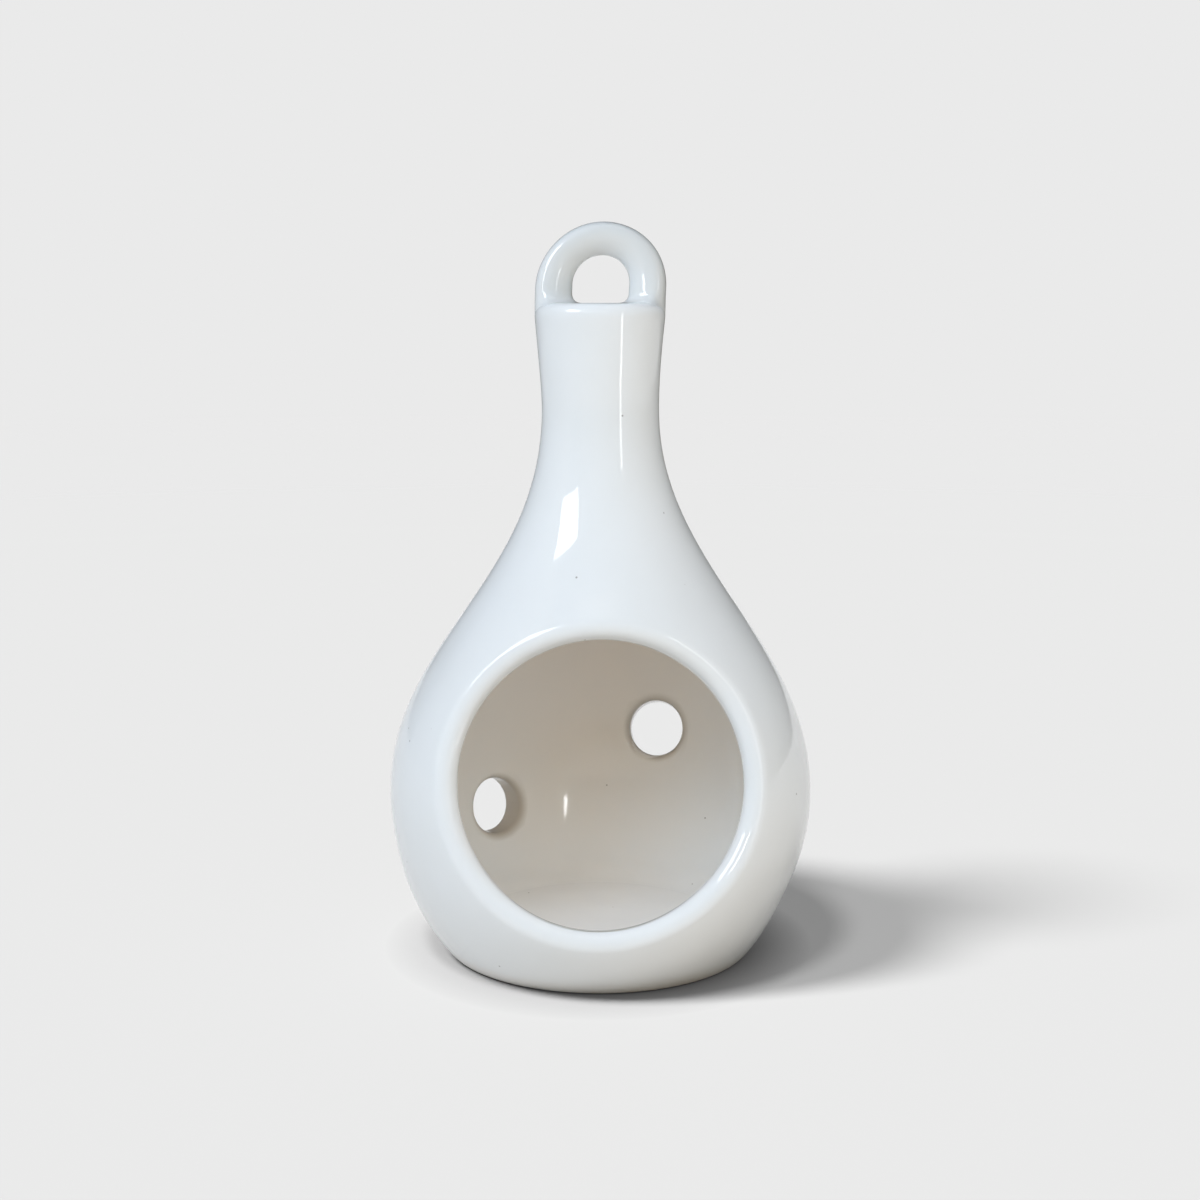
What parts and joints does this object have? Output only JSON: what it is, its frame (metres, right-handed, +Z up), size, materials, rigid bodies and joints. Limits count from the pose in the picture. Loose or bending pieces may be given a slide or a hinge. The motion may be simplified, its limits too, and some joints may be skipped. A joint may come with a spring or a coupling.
{
  "type": "hanging air plant holder",
  "caption": "White glazed ceramic pear-shaped holder for an air plant, with a round mouth in its front, vent holes in its back, a flat foot and a loop on the neck to hang it by.",
  "frame": {"origin": "middle of the flat underside of the foot, on the pear's axis", "axes": "+Z up along the pear's axis towards the loop, -Y out of the mouth, +X to the right as the mouth is faced"},
  "size_m": [0.0966, 0.0919, 0.165],
  "materials": {
    "white_glaze": "gloss"
  },
  "bodies": {
    "root": {"body_wall": "white_glaze", "floor_disc": "white_glaze", "neck_plug": "white_glaze", "hanging_loop": "white_glaze"}
  },
  "joints": []
}
